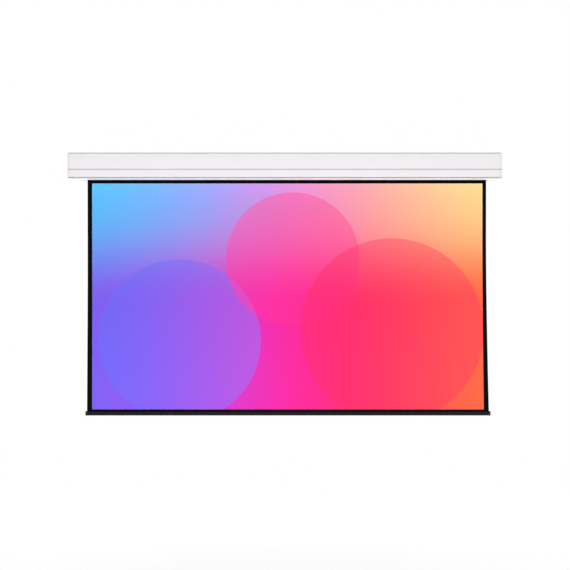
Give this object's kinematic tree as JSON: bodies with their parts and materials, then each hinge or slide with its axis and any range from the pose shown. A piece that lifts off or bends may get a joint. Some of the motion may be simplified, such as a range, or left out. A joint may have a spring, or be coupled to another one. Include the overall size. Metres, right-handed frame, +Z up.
{
  "type": "motorised projection screen",
  "caption": "Motorised roller projection screen in a long white wall case, its sheet let down to a black weight bar.",
  "frame": {"origin": "on the back face of the case, in the middle of its length and height", "axes": "+X to the viewer's right along the case, +Y into the wall, +Z up; the picture faces -Y"},
  "size_m": [2.4295, 0.147, 1.4802],
  "materials": {
    "case_paint": "satin powder coat",
    "cap_plastic": "fine moulded texture",
    "zinc_steel": "zinc plated",
    "bare_aluminium": "mill finish",
    "black_nylon": "moulded",
    "white_acetal": "moulded",
    "orange_nylon": "moulded",
    "sheet_vinyl": "matte coated vinyl, printed on its front, black on its back",
    "black_anodised": "black anodised"
  },
  "bodies": {
    "casing": {"case_shell": "case_paint", "lower_fascia": "case_paint", "end_cap_left": "cap_plastic", "end_cap_right": "cap_plastic", "end_plate_left": "zinc_steel", "end_plate_right": "zinc_steel", "motor_bracket": "zinc_steel", "idler_bracket": "zinc_steel", "motor_body": "zinc_steel", "cap_screw_left_1": "zinc_steel", "cap_screw_left_2": "zinc_steel", "cap_screw_left_3": "zinc_steel", "cap_screw_left_4": "zinc_steel", "cap_screw_right_1": "zinc_steel", "cap_screw_right_2": "zinc_steel", "cap_screw_right_3": "zinc_steel", "cap_screw_right_4": "zinc_steel", "motor_bolt_1": "zinc_steel", "motor_bolt_2": "zinc_steel", "idler_bolt_1": "zinc_steel", "idler_bolt_2": "zinc_steel", "wall_bracket_left": "bare_aluminium", "wall_bracket_right": "bare_aluminium", "motor_head": "black_nylon", "control_box": "black_nylon", "control_lid": "black_nylon", "inlet_lead": "black_nylon", "motor_lead": "black_nylon", "power_inlet": "black_nylon", "idler_bush": "white_acetal", "limit_screw_up": "orange_nylon", "limit_screw_down": "orange_nylon"},
    "roller": {"roller_tube": "bare_aluminium", "drive_shaft": "zinc_steel", "drive_wheel": "black_nylon", "idle_crown": "black_nylon", "idler_plug": "black_nylon", "idler_pin": "zinc_steel", "sheet_spline": "white_acetal", "wound_sheet": "sheet_vinyl"},
    "weight_bar": {"screen_sheet": "sheet_vinyl", "hem_rod": "zinc_steel", "bottom_bar": "black_anodised", "bar_cap_left": "black_nylon", "bar_cap_right": "black_nylon"}
  },
  "joints": [
    {"name": "bar_travel", "type": "slide", "parent": "casing", "child": "weight_bar", "axis": [0, 0, 1], "range_m": [0, 1.327], "deforming": ["screen_sheet"]},
    {"name": "roller_turn", "type": "hinge", "parent": "casing", "child": "roller", "pos_m": [0, -0.09218, 0.008], "axis": [1, 0, 0], "range_deg": [0, 2365]}
  ],
  "couplings": [
    {"joint": "roller_turn", "follows": "bar_travel", "rad_per_m": 31.08}
  ]
}
